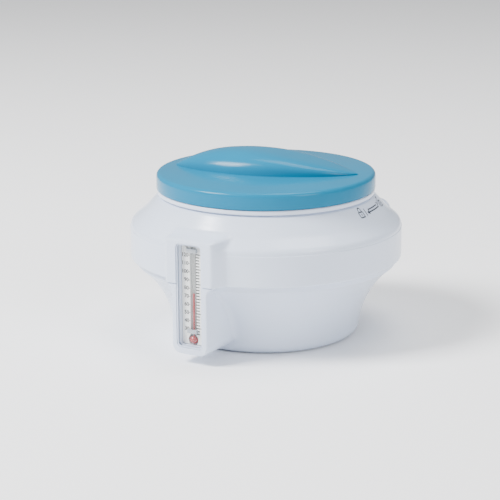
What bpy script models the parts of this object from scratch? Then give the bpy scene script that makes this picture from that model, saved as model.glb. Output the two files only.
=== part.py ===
"""Floating chlorine dispenser: a sealed float with a slotted, telescoping tablet basket, a lift-out
lid that carries a tablet scoop, and a thermometer let into the front.

Axes: +Z up along the float's axis, the thermometer faces -Y. The origin is on that axis, on the
surface the dispenser stands on. Lengths are metres.
"""

import math

import bmesh
import bpy
from mathutils import Euler, Matrix, Vector

MM = 0.001

# ---- driving dimensions -------------------------------------------------------------------------
SEGMENTS = 48                  # sides of every large turned piece
WALL = 2.0 * MM                # moulded wall of the float
GAP = 0.35 * MM                # least gap between two pieces

COLLAR_R = 92.5 * MM           # widest radius of the float
LIP_BOTTOM_Z = 53.4 * MM       # lower edge of the collar
LIP_ROUND = 3.0 * MM
SHOULDER_ROUND = 5.0 * MM
SHOULDER_REACH = 169.2 * MM    # radius plus height all along the 45 degree shoulder
SHOULDER_TOP_Z = 95.8 * MM     # narrow flat ledge between the shoulder and the neck
LEDGE_ROUND = 4.0 * MM
NECK_GROOVE_R = 71.3 * MM
NECK_RING_R = 74.0 * MM
NECK_RING_Z = (96.9 * MM, 99.8 * MM)
NECK_R = 69.0 * MM             # upstand that the lid turns on
NECK_TOP_Z = 107.0 * MM

FUNNEL_ARC_R = 65.0 * MM       # concave side of the lower float
FUNNEL_CENTRE = (128.5 * MM, -2.0 * MM)
SPIGOT_R = 88.6 * MM           # upright part of the lower float, inside the lip
BASE_ROUND = 6.5 * MM

BORE_R = 55.0 * MM             # tablet well that the basket slides in
WELL_OUTER_R = 58.0 * MM
WELL_TOP_Z = 99.4 * MM

LID_R = 74.4 * MM
LID_SKIRT_Z = (100.2 * MM, 111.2 * MM)
LID_UNDERSIDE_Z = 109.0 * MM
LID_CROWN_Z = 112.2 * MM
GRIP_HALF_LENGTH = 64.0 * MM
GRIP_HALF_WIDTH = 25.0 * MM
GRIP_TOP_Z = 126.0 * MM
GRIP_END_DROP = 11.5 * MM      # the grip's crown falls this far from its middle to its tips
GRIP_YAW = math.radians(15)    # how the grip lies while the lid is on its open mark

BAYONET_ANGLE = math.radians(30)   # turn from open to locked
BAYONET_FIRST = math.radians(90)

BASKET_R = 52.0 * MM
BASKET_WALL = 1.8 * MM
BASKET_BOTTOM_Z = 3.2 * MM
BASKET_LEDGE = 0.8 * MM         # thickness of the ledge that the basket's floor rests on
BASKET_FLOOR_Z = (4.35 * MM, 6.1 * MM)
BASKET_TOP_Z = 80.0 * MM
BASKET_TRAVEL = 48.0 * MM
DIAL_R = 54.4 * MM
DIAL_WALL = 1.8 * MM
DIAL_FLOOR = 2.6 * MM
DIAL_TOP_Z = 44.0 * MM
PIVOT_R = 3.3 * MM
SLOTS = 12
SLOT_Z = (10.0 * MM, 40.0 * MM)
SLOT_WIDTH = 10.5 * MM
FLOOR_HOLES = 6

BEZEL_Y = -98.0 * MM           # flat front face round the thermometer
BOSS_HALF_WIDTH = 17.5 * MM
BOSS_TOP_Z = 83.0 * MM
COLUMN_FACE_Y = -97.3 * MM
COLUMN_HALF_WIDTH = 13.2 * MM
COLUMN_BOTTOM_Z = 6.6 * MM
WINDOW_HALF_WIDTH = 10.0 * MM
WINDOW_Z = (10.8 * MM, 80.4 * MM)
WINDOW_CORNER = 3.2 * MM
POCKET_BACK_Y = -86.0 * MM

TUBE_AXIS_Y = -91.5 * MM
TUBE_R = 2.0 * MM
TUBE_BORE_R = 1.05 * MM
TUBE_TOP_Z = 77.3 * MM
BULB_Z = 15.9 * MM
BULB_R = 3.0 * MM
SPIRIT_TOP_Z = 46.5 * MM       # about 75 degrees on the Fahrenheit scale
CLIP_Z = {"bottom": 20.2 * MM, "top": 74.2 * MM}

SCREW_CIRCLE_R = 46.4 * MM
SCREW_R = 1.3 * MM
SCREW_HEAD_R = 2.6 * MM

EYE_AZIMUTH = math.radians(62)
EYE_CENTRE = (91.0 * MM, 68.0 * MM)   # radius and height of the lug's own centre
EYE_R = 12.8 * MM
EYE_HOLE_R = 4.2 * MM
EYE_HOLE_CENTRE = (97.4 * MM, 69.5 * MM)
EYE_THICKNESS = 3.2 * MM

# ---- colours: base colour, roughness, metallic, alpha -------------------------------------------
FINISHES = {
    "white_plastic": ((0.80, 0.83, 0.88), 0.30, 0.0, 1.0),
    "cyan_plastic": ((0.0, 0.47, 0.66), 0.28, 0.0, 1.0),
    "blue_plastic": ((0.01, 0.22, 0.46), 0.32, 0.0, 1.0),
    "seal_rubber": ((0.25, 0.26, 0.28), 0.70, 0.0, 1.0),
    "scale_card": ((0.88, 0.89, 0.90), 0.55, 0.0, 1.0),
    "tube_glass": ((0.92, 0.95, 0.95), 0.04, 0.0, 0.35),
    "red_spirit": ((0.60, 0.01, 0.02), 0.25, 0.0, 1.0),
    "clip_plastic": ((0.55, 0.56, 0.57), 0.35, 0.0, 1.0),
    "clear_lens": ((0.92, 0.95, 0.96), 0.05, 0.0, 0.25),
    "screw_steel": ((0.62, 0.63, 0.64), 0.30, 1.0, 1.0),
}


# ---- scene and objects --------------------------------------------------------------------------
def clear_scene():
    for found in list(bpy.data.objects):
        bpy.data.objects.remove(found, do_unlink=True)


def new_collection(name):
    made = bpy.data.collections.new(name)
    bpy.context.scene.collection.children.link(made)
    return made


clear_scene()
MODEL = new_collection("floating_chlorine_dispenser")
CUTTERS = new_collection("cutters")


def material(name):
    """Principled BSDF in one of the part's finishes, made once."""
    if name in bpy.data.materials:
        return bpy.data.materials[name]
    colour, roughness, metallic, alpha = FINISHES[name]
    made = bpy.data.materials.new(name)
    made.use_nodes = True
    shader = made.node_tree.nodes["Principled BSDF"]
    shader.inputs["Base Color"].default_value = (*colour, 1.0)
    shader.inputs["Roughness"].default_value = roughness
    shader.inputs["Metallic"].default_value = metallic
    shader.inputs["Alpha"].default_value = alpha
    return made


def add_object(name, mesh, finish=None):
    """Links a mesh as a piece, or as a cutter when it has no finish."""
    made = bpy.data.objects.new(name, mesh)
    if finish:
        MODEL.objects.link(made)
        mesh.materials.append(material(finish))
    else:
        CUTTERS.objects.link(made)
        made.hide_render = True
        made.display_type = "WIRE"
    return made


def boolean(target, cutter, operation="DIFFERENCE"):
    step = target.modifiers.new(operation.title() + "_" + cutter.name, "BOOLEAN")
    step.operation = operation
    step.object = cutter
    step.solver = "EXACT"
    return step


def baked(obj):
    """The object's evaluated shape as a plain mesh, with its doubled points welded."""
    bpy.context.view_layer.update()
    seen = obj.evaluated_get(bpy.context.evaluated_depsgraph_get())
    mesh = bpy.data.meshes.new_from_object(seen)
    mesh.transform(obj.matrix_world)
    shape = bmesh.new()
    shape.from_mesh(mesh)
    bmesh.ops.remove_doubles(shape, verts=shape.verts, dist=0.00001)
    shape.to_mesh(mesh)
    shape.free()
    return mesh


# ---- shapes -------------------------------------------------------------------------------------
def arc(centre, radius, start, end, steps):
    """Points (r, z) along an arc; angles in degrees from the outward radius."""
    points = []
    for i in range(steps + 1):
        angle = math.radians(start + (end - start) * i / steps)
        points.append((centre[0] + radius * math.cos(angle), centre[1] + radius * math.sin(angle)))
    return points


def turned(name, profile, finish=None, closed=True, segments=SEGMENTS):
    """A profile of (r, z) points turned about Z. It runs down its outer side and up its inner one."""
    mesh = bpy.data.meshes.new(name)
    count = len(profile)
    edges = [(i, i + 1) for i in range(count - 1)]
    if closed:
        edges.append((count - 1, 0))
    mesh.from_pydata([(r, 0.0, z) for r, z in profile], edges, [])
    made = add_object(name, mesh, finish)
    screw = made.modifiers.new("Turn", "SCREW")
    screw.angle = math.tau
    screw.steps = segments
    screw.render_steps = segments
    screw.use_merge_vertices = True
    screw.merge_threshold = 0.00001
    screw.use_smooth_shade = True
    return made


def rod(name, radius, length, centre, direction, finish=None, sides=24):
    """A cylinder of the given length along direction, about centre."""
    shape = bmesh.new()
    bmesh.ops.create_cone(
        shape, cap_ends=True, segments=sides, radius1=radius, radius2=radius, depth=length
    )
    turn = Vector((0, 0, 1)).rotation_difference(Vector(direction)).to_matrix().to_4x4()
    bmesh.ops.transform(shape, matrix=Matrix.Translation(Vector(centre)) @ turn, verts=shape.verts)
    mesh = bpy.data.meshes.new(name)
    shape.to_mesh(mesh)
    shape.free()
    return add_object(name, mesh, finish)


def block(name, low, high, finish=None, turn=0.0):
    """A box between two corners, then turned about Z by an angle."""
    size = [high[i] - low[i] for i in range(3)]
    middle = Vector([(high[i] + low[i]) / 2 for i in range(3)])
    shape = bmesh.new()
    bmesh.ops.create_cube(shape, size=1.0)
    bmesh.ops.scale(shape, vec=size, verts=shape.verts)
    bmesh.ops.translate(shape, vec=middle, verts=shape.verts)
    bmesh.ops.rotate(shape, cent=(0, 0, 0), matrix=Matrix.Rotation(turn, 3, "Z"), verts=shape.verts)
    mesh = bpy.data.meshes.new(name)
    shape.to_mesh(mesh)
    shape.free()
    return add_object(name, mesh, finish)


def joined(name, pieces):
    """Several separate cutters as one."""
    shape = bmesh.new()
    for piece in pieces:
        shape.from_mesh(piece.data)
        bpy.data.objects.remove(piece, do_unlink=True)
    mesh = bpy.data.meshes.new(name)
    shape.to_mesh(mesh)
    shape.free()
    return add_object(name, mesh)


def plate(name, outline, thickness, finish=None):
    """A flat outline of (x, y) points, thickness deep about Z = 0, as a mesh."""
    curve = bpy.data.curves.new(name, "CURVE")
    curve.dimensions = "2D"
    curve.fill_mode = "BOTH"
    curve.extrude = thickness / 2
    spline = curve.splines.new("POLY")
    spline.points.add(len(outline) - 1)
    for point, (x, y) in zip(spline.points, outline):
        point.co = (x, y, 0.0, 1.0)
    spline.use_cyclic_u = True
    drawn = bpy.data.objects.new(name + "_outline", curve)
    CUTTERS.objects.link(drawn)
    mesh = baked(drawn)
    mesh.name = name
    bpy.data.objects.remove(drawn, do_unlink=True)
    return add_object(name, mesh, finish)


def rounded_outline(half_width, low, high, radius, steps=4):
    """A rectangle with round corners, anticlockwise, as (x, y) points."""
    corners = [
        ((half_width - radius, low + radius), -90),
        ((half_width - radius, high - radius), 0),
        ((-half_width + radius, high - radius), 90),
        ((-half_width + radius, low + radius), 180),
    ]
    points = []
    for centre, start in corners:
        points += arc(centre, radius, start, start + 90, steps)
    return points


def front_plate(name, half_width, z_range, radius, y_range, finish=None):
    """A rounded rectangle seen from the front, between two depths in Y."""
    outline = rounded_outline(half_width, z_range[0], z_range[1], radius)
    made = plate(name, outline, y_range[1] - y_range[0], finish)
    upright = Matrix.Translation((0, sum(y_range) / 2, 0)) @ Matrix.Rotation(math.pi / 2, 4, "X")
    made.data.transform(upright)
    return made


# ---- float --------------------------------------------------------------------------------------
def shoulder_profile(offset):
    """Ledge, shoulder and collar from the neck down to the lip, moved in by offset."""
    reach = SHOULDER_REACH - offset * math.sqrt(2)
    top_z = SHOULDER_TOP_Z - offset
    ledge = LEDGE_ROUND
    top = (reach - top_z + ledge - math.sqrt(2) * ledge, top_z - ledge)
    side = COLLAR_R - offset
    rounding = SHOULDER_ROUND - offset
    low = (side - rounding, reach - side - (math.sqrt(2) - 1) * rounding)
    return arc(top, ledge, 90, 45, 2) + arc(low, rounding, 45, 0, 3)


def lip_profile(offset, start, end):
    centre = (COLLAR_R - LIP_ROUND, LIP_BOTTOM_Z + LIP_ROUND)
    return arc(centre, LIP_ROUND - offset, start, end, 3)


def boss_blank(name, half_width, z_range, back_y, flare):
    """Block behind the bezel face; its flanks widen towards the float by flare."""
    outline = [
        (half_width, BEZEL_Y),
        (half_width + flare * 0.25, BEZEL_Y + 4.5 * MM),
        (half_width + flare, back_y),
        (-half_width - flare, back_y),
        (-half_width - flare * 0.25, BEZEL_Y + 4.5 * MM),
        (-half_width, BEZEL_Y),
    ]
    made = plate(name, outline, z_range[1] - z_range[0])
    made.data.transform(Matrix.Translation((0, 0, sum(z_range) / 2)))
    return made


def tether_eye():
    """Half-round lug on the collar's upper edge, rooted in its wall, and the cutter for its hole."""
    radius, height = EYE_CENTRE
    hole_radius, hole_height = EYE_HOLE_CENTRE
    place = (hole_radius, 0, hole_height)
    lug = rod("tether_eye", EYE_R, EYE_THICKNESS, (radius, 0, height), (0, 1, 0), None, 28)
    hole = rod("tether_hole", EYE_HOLE_R, 3 * EYE_THICKNESS, place, (0, 1, 0), None, 20)
    root_r = COLLAR_R - WALL / 2
    root_top = SHOULDER_REACH - WALL / math.sqrt(2) - root_r
    inside = [(0.0, 0.03), (root_r, 0.03), (root_r, root_top), (root_r - 0.03, root_top + 0.03)]
    under = plate("inside_wall", inside + [(0.0, root_top + 0.03)], 0.02)
    under.data.transform(Matrix.Rotation(math.pi / 2, 4, "X"))
    boolean(lug, under)
    around = Euler((0, 0, EYE_AZIMUTH))
    for piece in (lug, hole, under):
        piece.rotation_euler = around
    return lug, hole


def make_upper_shell():
    ring_low, ring_high = NECK_RING_Z
    deck_under_z = ring_high - WALL
    deck_inner_r = WELL_OUTER_R + GAP
    wall_in = shoulder_profile(WALL)
    outer = (
        [(NECK_R, NECK_TOP_Z), (NECK_R, ring_high), (NECK_RING_R, ring_high)]
        + [(NECK_RING_R, ring_low), (NECK_GROOVE_R, ring_low), (NECK_GROOVE_R, SHOULDER_TOP_Z)]
        + shoulder_profile(0.0)
        + lip_profile(0.0, 0, -90)
    )
    lip_end_r = SPIGOT_R + 0.4 * MM
    inner = (
        [(lip_end_r, LIP_BOTTOM_Z), (lip_end_r, LIP_BOTTOM_Z + WALL)]
        + lip_profile(WALL, -90, 0)
        + list(reversed(wall_in))
        + [(NECK_GROOVE_R - WALL, wall_in[0][1]), (NECK_GROOVE_R - WALL, deck_under_z)]
        + [(deck_inner_r, deck_under_z), (deck_inner_r, ring_high)]
        + [(NECK_R - WALL, ring_high), (NECK_R - WALL, NECK_TOP_Z)]
    )
    shell = turned("upper_shell", outer + inner, "white_plastic")

    top = BOSS_TOP_Z + 6.0 * MM
    back_y = POCKET_BACK_Y + 6.5 * MM
    blank = boss_blank("boss_blank", BOSS_HALF_WIDTH, (LIP_BOTTOM_Z, top), back_y, 5.0 * MM)
    slopes = ((0.0, -60, BOSS_TOP_Z - 2 * MM), (0.0, -30, BOSS_TOP_Z), (0.0, -8, BOSS_TOP_Z + 1.6 * MM))
    for i, (back, tilt, z) in enumerate(slopes):
        trim = block(f"boss_slope_{i}", (-0.06, -0.06, 0.0), (0.06, 0.06, 0.04))
        trim.data.transform(
            Matrix.Translation((0, BEZEL_Y + back, z)) @ Matrix.Rotation(math.radians(-tilt), 4, "X")
        )
        boolean(blank, trim)
    boolean(shell, blank, "UNION")
    behind = block(
        "boss_back",
        (-15.0 * MM, POCKET_BACK_Y + WALL, LIP_BOTTOM_Z - 2 * MM),
        (15.0 * MM, -0.06, BOSS_TOP_Z - 4 * MM),
    )
    boolean(shell, behind)

    neck_lugs = []
    for i in range(3):
        angle = BAYONET_FIRST - BAYONET_ANGLE + math.tau * i / 3
        neck_lugs.append(
            block(
                f"neck_lug_{i}",
                (NECK_R - 0.8 * MM, -9.0 * MM, NECK_TOP_Z - 3.2 * MM),
                (NECK_R + 2.0 * MM, 9.0 * MM, NECK_TOP_Z - 0.7 * MM),
                turn=angle,
            )
        )
    boolean(shell, joined("neck_lugs", neck_lugs), "UNION")
    lug, hole = tether_eye()
    boolean(shell, lug, "UNION")
    boolean(shell, hole)
    return shell


def funnel(offset, low_z, steps):
    """Concave side of the lower float, from the upright spigot down to a height."""
    radius = FUNNEL_ARC_R + offset
    centre_r, centre_z = FUNNEL_CENTRE
    reach = centre_r - SPIGOT_R + offset
    high_z = centre_z + math.sqrt(radius**2 - reach**2)
    points = []
    for i in range(steps + 1):
        z = high_z + (low_z - high_z) * i / steps
        points.append((centre_r - math.sqrt(radius**2 - (z - centre_z) ** 2), z))
    return points


def make_lower_shell():
    rim_r = COLLAR_R - 2.7 * MM
    shelf_z = LIP_BOTTOM_Z + WALL + 2 * GAP + 1.4 * MM
    rim_top_z = shelf_z + 3.2 * MM
    outer_side = funnel(0.0, BASE_ROUND, 8)
    inner_side = funnel(WALL, BASE_ROUND, 5)
    foot_r = outer_side[-1][0] - BASE_ROUND
    sole_r = BORE_R + 0.3 * MM
    outer = (
        [(rim_r, rim_top_z), (rim_r, shelf_z), (SPIGOT_R, shelf_z)]
        + outer_side
        + arc((foot_r, BASE_ROUND), BASE_ROUND, 0, -90, 4)[1:]
    )
    inner = (
        [(sole_r, 0.0), (sole_r, WALL)]
        + arc((foot_r, BASE_ROUND), BASE_ROUND - WALL, -90, 0, 2)[:-1]
        + list(reversed(inner_side))
        + [(SPIGOT_R - WALL, rim_top_z)]
    )
    shell = turned("lower_shell", outer + inner, "white_plastic")

    column_top = LIP_BOTTOM_Z - GAP
    flare_z = column_top - 3.0 * MM
    width, wide = COLUMN_HALF_WIDTH, BOSS_HALF_WIDTH
    foot = rounded_outline(width, COLUMN_BOTTOM_Z, flare_z, 5.5 * MM)
    left, right = foot[-5:], foot[:5]
    outline = left + right + [(width, flare_z), (wide, column_top)]
    outline += [(-wide, column_top), (-width, flare_z)]
    depth = 36.0 * MM
    column = plate("column_blank", outline, depth)
    place = Matrix.Translation((0, COLUMN_FACE_Y + depth / 2, 0))
    column.data.transform(place @ Matrix.Rotation(math.pi / 2, 4, "X"))

    # the float's inside, which the column's hollow back opens into
    inside = turned(
        "lower_inside",
        [(SPIGOT_R - WALL, 0.08)]
        + funnel(WALL + 0.2 * MM, 4.0 * MM, 5)
        + [(30 * MM, 4.0 * MM), (30 * MM, 0.08)],
    )
    boolean(column, inside)
    boolean(shell, column, "UNION")
    hollow = block(
        "column_hollow",
        (-width + WALL, POCKET_BACK_Y + WALL, COLUMN_BOTTOM_Z + 3 * MM),
        (width - WALL, -0.060, rim_top_z + 2 * MM),
    )
    boolean(shell, hollow)
    notch = block(
        "boss_notch",
        (-BOSS_HALF_WIDTH - 5.4 * MM, -0.11, column_top),
        (BOSS_HALF_WIDTH + 5.4 * MM, POCKET_BACK_Y + 7.0 * MM, rim_top_z + 2 * MM),
    )
    boolean(shell, notch)
    return shell


def make_shell_gasket():
    low = LIP_BOTTOM_Z + WALL + GAP
    high = low + 1.4 * MM
    outer_r, inner_r = COLLAR_R - WALL - 0.4 * MM, SPIGOT_R + 0.4 * MM
    profile = [(outer_r, high), (outer_r, low), (inner_r, low), (inner_r, high)]
    gasket = turned("shell_gasket", profile, "seal_rubber")
    width = BOSS_HALF_WIDTH + 5.4 * MM
    gap = block("gasket_gap", (-width, -0.11, 0.05), (width, -0.06, 0.07))
    boolean(gasket, gap)
    return gasket


def make_well_tube():
    profile = [
        (WELL_OUTER_R, WELL_TOP_Z),
        (WELL_OUTER_R, WALL + GAP),
        (BORE_R, WALL + GAP),
        (BORE_R, WELL_TOP_Z),
    ]
    tube = turned("tablet_well_tube", profile, "white_plastic")
    groove_foot = BASKET_TOP_Z - 2.5 * MM - BASKET_TRAVEL - 0.6 * MM
    grooves = [
        block(
            f"guide_groove_{i}",
            (BORE_R - 4 * MM, -4.0 * MM, groove_foot),
            (BORE_R + 1.6 * MM, 4.0 * MM, WELL_TOP_Z + 2 * MM),
            turn=math.tau * i / 3,
        )
        for i in range(3)
    ]
    boolean(tube, joined("guide_grooves", grooves))
    return tube


# ---- thermometer --------------------------------------------------------------------------------
def cut_pocket(shells):
    pocket = front_plate(
        "thermometer_pocket",
        WINDOW_HALF_WIDTH,
        WINDOW_Z,
        WINDOW_CORNER,
        (BEZEL_Y - 4 * MM, POCKET_BACK_Y),
    )
    for shell in shells:
        boolean(shell, pocket)


def make_thermometer():
    low, high = WINDOW_Z
    half = WINDOW_HALF_WIDTH - GAP
    tray_z = (low + GAP, high - GAP)
    tray_y = (BEZEL_Y + 3.0 * MM, POCKET_BACK_Y - GAP)
    rim = 1.0 * MM
    tray = front_plate("thermometer_tray", half, tray_z, 2.9 * MM, tray_y, "white_plastic")
    cavity_z = (tray_z[0] + rim, tray_z[1] - rim)
    floor_y = tray_y[1] - 1.4 * MM
    cavity = front_plate(
        "tray_cavity", half - rim, cavity_z, 2.0 * MM, (tray_y[0] - 2 * MM, floor_y)
    )
    boolean(tray, cavity)

    card_y = (floor_y - 1.4 * MM, floor_y - GAP)
    card_z = (cavity_z[0] + GAP, cavity_z[1] - GAP)
    card = front_plate(
        "thermometer_card", half - rim - GAP, card_z, 1.7 * MM, card_y, "scale_card"
    )
    bulb_hole = rod("bulb_hole", BULB_R + 0.8 * MM, 0.01, (0, card_y[0], BULB_Z), (0, 1, 0))
    boolean(card, bulb_hole)

    tube_top = TUBE_TOP_Z
    neck_angle = math.degrees(math.asin(TUBE_R / BULB_R))
    bulb_inner = BULB_R - 0.6 * MM
    bore_angle = math.degrees(math.asin(TUBE_BORE_R / bulb_inner))
    outer = [(TUBE_R, tube_top)] + arc((0, BULB_Z), BULB_R, 90 - neck_angle, -90, 7)
    inner = arc((0, BULB_Z), bulb_inner, -90, 90 - bore_angle, 6) + [(TUBE_BORE_R, tube_top)]
    outer[-1] = (0.0, BULB_Z - BULB_R)
    inner[0] = (0.0, BULB_Z - bulb_inner)
    glass = turned("thermometer_glass", outer + inner, "tube_glass", segments=16)

    spirit_r = TUBE_BORE_R - GAP
    bulb_fill = bulb_inner - GAP
    neck = math.degrees(math.asin(spirit_r / bulb_fill))
    fill = [(0.0, SPIRIT_TOP_Z), (spirit_r, SPIRIT_TOP_Z)]
    fill += arc((0, BULB_Z), bulb_fill, 90 - neck, -90, 6)
    fill[-1] = (0.0, BULB_Z - bulb_fill)
    spirit = turned("thermometer_spirit", fill, "red_spirit", closed=False, segments=12)
    for piece in (glass, spirit):
        piece.location.y = TUBE_AXIS_Y

    for place, foot in CLIP_Z.items():
        clip = block(
            f"tube_clip_{place}",
            (-3.6 * MM, TUBE_AXIS_Y - TUBE_R - 0.9 * MM, foot),
            (3.6 * MM, card_y[0] - GAP, foot + 2.6 * MM),
            "clip_plastic",
        )
        bore = rod(f"clip_bore_{place}", TUBE_R + GAP, 0.02, (0, TUBE_AXIS_Y, foot), (0, 0, 1))
        boolean(clip, bore)

    lens_y = (tray_y[0] - GAP - 1.0 * MM, tray_y[0] - GAP)
    front_plate("thermometer_lens", half, tray_z, 2.9 * MM, lens_y, "clear_lens")


# ---- lid ----------------------------------------------------------------------------------------
def grip_form(name, shrink):
    """Long rounded ridge: a sphere with its poles along X, stretched to a lens shape in plan."""
    shape = bmesh.new()
    bmesh.ops.create_uvsphere(shape, u_segments=24, v_segments=14, radius=1.0)
    bmesh.ops.rotate(
        shape, cent=(0, 0, 0), matrix=Matrix.Rotation(math.pi / 2, 3, "Y"), verts=shape.verts
    )
    half_length = GRIP_HALF_LENGTH - shrink
    root_z = LID_UNDERSIDE_Z + 0.9 * MM
    for vertex in shape.verts:
        along = max(-1.0, min(1.0, vertex.co.x))
        ring = math.sqrt(max(0.0, 1.0 - along * along))
        side, up = (vertex.co.y / ring, vertex.co.z / ring) if ring > 1e-6 else (0.0, 0.0)
        # squarer than a circle, so that the crown is broad and its edges are tight
        square = 1.0 / max(1e-9, (abs(side) ** 3.2 + abs(up) ** 3.2) ** (1 / 3.2))
        width = (GRIP_HALF_WIDTH - shrink) * (1.0 - along * along) ** 0.75
        crown = GRIP_TOP_Z - shrink - GRIP_END_DROP * along * along - root_z
        crown *= (1.0 - along**8) ** 0.5
        vertex.co = (half_length * along, width * side * square, root_z + crown * up * square)
    mesh = bpy.data.meshes.new(name)
    bmesh.ops.remove_doubles(shape, verts=shape.verts, dist=0.00002)
    shape.to_mesh(mesh)
    shape.free()
    return add_object(name, mesh)


def screw_places():
    angles = [GRIP_YAW + math.radians(90 + a) for a in (0, 140, 220)]
    return [(SCREW_CIRCLE_R * math.cos(a), SCREW_CIRCLE_R * math.sin(a)) for a in angles]


def screw_holes(name, low, high):
    holes = [
        rod(f"{name}_{i}", SCREW_R + GAP, high - low, (x, y, (low + high) / 2), (0, 0, 1), None, 12)
        for i, (x, y) in enumerate(screw_places())
    ]
    return joined(name, holes)


def make_lid():
    skirt_z, edge_z = LID_SKIRT_Z
    edge_round = 3.0 * MM
    centre = (LID_R - edge_round, edge_z - edge_round)
    profile = (
        [(0.0, LID_CROWN_Z), (36.0 * MM, LID_CROWN_Z - 0.25 * MM)]
        + arc(centre, edge_round, 90, 0, 3)
        + [(LID_R, skirt_z), (LID_R - WALL, skirt_z)]
        + [(LID_R - WALL, LID_UNDERSIDE_Z), (0.0, LID_UNDERSIDE_Z)]
    )
    lid = turned("lid", profile, "cyan_plastic", closed=False)
    grip = grip_form("grip_outside", 0.0)
    under = block("grip_trim", (-0.09, -0.03, 0.09), (0.09, 0.03, LID_UNDERSIDE_Z + 0.5 * MM))
    boolean(grip, under)
    grip_hollow = grip_form("grip_inside", WALL)
    for piece in (grip, under, grip_hollow):
        piece.rotation_euler = Euler((0, 0, GRIP_YAW))
    boolean(lid, grip, "UNION")
    boolean(lid, grip_hollow)

    lugs = []
    for i in range(3):
        angle = BAYONET_FIRST + math.tau * i / 3
        lugs.append(
            block(
                f"lid_lug_{i}",
                (NECK_R + 0.5 * MM, -9.0 * MM, skirt_z + 0.3 * MM),
                (LID_R - 1.0 * MM, 9.0 * MM, skirt_z + 2.8 * MM),
                turn=angle,
            )
        )
    boolean(lid, joined("lid_lugs", lugs), "UNION")
    boolean(lid, screw_holes("lid_screw_holes", LID_UNDERSIDE_Z - 1 * MM, LID_UNDERSIDE_Z + 2 * MM))
    return lid


def make_lid_seal():
    low, high = NECK_TOP_Z + GAP, LID_UNDERSIDE_Z - GAP
    profile = [(70.6 * MM, high), (70.6 * MM, low), (66.2 * MM, low), (66.2 * MM, high)]
    return turned("lid_seal", profile, "seal_rubber")


def make_scoop():
    """Half-round tablet scoop under the lid, open to the front and cut to a point."""
    outer_r, inner_r = 43.0 * MM, 41.0 * MM
    flange_r, top_z = 49.6 * MM, LID_UNDERSIDE_Z - GAP
    profile = [
        (flange_r, top_z),
        (flange_r, top_z - WALL),
        (outer_r, top_z - WALL),
        (outer_r, 12.0 * MM),
        (inner_r, 12.0 * MM),
        (inner_r, top_z),
    ]
    scoop = turned("tablet_scoop", profile, "blue_plastic")
    side_cut = [(-60, 8), (46, 8), (39, 16), (24, 30), (12, 50), (6, 70), (-8, 85), (-28, 93), (-60, 95)]
    cutter = plate("scoop_cut", [(y * MM, z * MM) for y, z in side_cut], 0.12)
    turn = Matrix(((0, 0, 1, 0), (1, 0, 0, 0), (0, 1, 0, 0), (0, 0, 0, 1)))
    cutter.data.transform(turn)
    boolean(scoop, cutter)
    boolean(scoop, screw_holes("scoop_screw_holes", top_z - 4 * MM, top_z + 1 * MM))
    return scoop


def make_scoop_screws():
    under_flange = LID_UNDERSIDE_Z - 2 * GAP - WALL
    for i, (x, y) in enumerate(screw_places()):
        profile = [
            (0.0, LID_UNDERSIDE_Z + 1.6 * MM),
            (SCREW_R, LID_UNDERSIDE_Z + 1.6 * MM),
            (SCREW_R, under_flange),
            (SCREW_HEAD_R, under_flange),
            (SCREW_HEAD_R - 0.5 * MM, under_flange - 1.7 * MM),
            (0.0, under_flange - 1.9 * MM),
        ]
        screw = turned(f"scoop_screw_{i + 1}", profile, "screw_steel", closed=False, segments=16)
        screw.location = (x, y, 0)


# ---- basket and flow dial -----------------------------------------------------------------------
def slot_cutter(name, inner_r, outer_r):
    slots = [
        block(
            f"{name}_{i}",
            (inner_r, -SLOT_WIDTH / 2, SLOT_Z[0]),
            (outer_r, SLOT_WIDTH / 2, SLOT_Z[1]),
            turn=math.tau * (i + 0.5) / SLOTS,
        )
        for i in range(SLOTS)
    ]
    return joined(name, slots)


def floor_hole_cutter(name, z_range):
    depth = z_range[1] - z_range[0] + 2 * MM
    middle = sum(z_range) / 2
    holes = []
    for i in range(FLOOR_HOLES):
        angle = math.tau * i / FLOOR_HOLES
        place = (30 * MM * math.cos(angle), 30 * MM * math.sin(angle), middle)
        holes.append(rod(f"{name}_{i}", 5.5 * MM, depth, place, (0, 0, 1), None, 16))
    return joined(name, holes)


def make_basket():
    inner_r = BASKET_R - BASKET_WALL
    flange_z = BASKET_TOP_Z - 2.5 * MM
    ledge_z = BASKET_BOTTOM_Z + BASKET_LEDGE
    profile = [
        (BORE_R - 0.6 * MM, BASKET_TOP_Z),
        (BORE_R - 0.6 * MM, flange_z),
        (BASKET_R, flange_z),
        (BASKET_R, BASKET_BOTTOM_Z),
        (inner_r - 2.6 * MM, BASKET_BOTTOM_Z),
        (inner_r - 2.6 * MM, ledge_z),
        (inner_r, ledge_z),
        (inner_r, BASKET_TOP_Z),
    ]
    basket = turned("tablet_basket", profile, "blue_plastic")
    keys = [
        block(
            f"basket_key_{i}",
            (BASKET_R + 0.5 * MM, -3.4 * MM, flange_z),
            (BORE_R + 1.1 * MM, 3.4 * MM, BASKET_TOP_Z),
            turn=math.tau * i / 3,
        )
        for i in range(3)
    ]
    boolean(basket, joined("basket_keys", keys), "UNION")
    boolean(basket, slot_cutter("basket_slots", 46 * MM, 53.5 * MM))
    return basket


def make_basket_floor():
    """Round floor with drain holes, set on the ledge inside the basket; the dial's pivot turns in it."""
    low, high = BASKET_FLOOR_Z
    outer_r = BASKET_R - BASKET_WALL - GAP
    hole_r = PIVOT_R + GAP
    profile = [(outer_r, high), (outer_r, low), (hole_r, low), (hole_r, high)]
    floor = turned("basket_floor", profile, "blue_plastic")
    boolean(floor, floor_hole_cutter("basket_floor_holes", BASKET_FLOOR_Z))
    return floor


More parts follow.
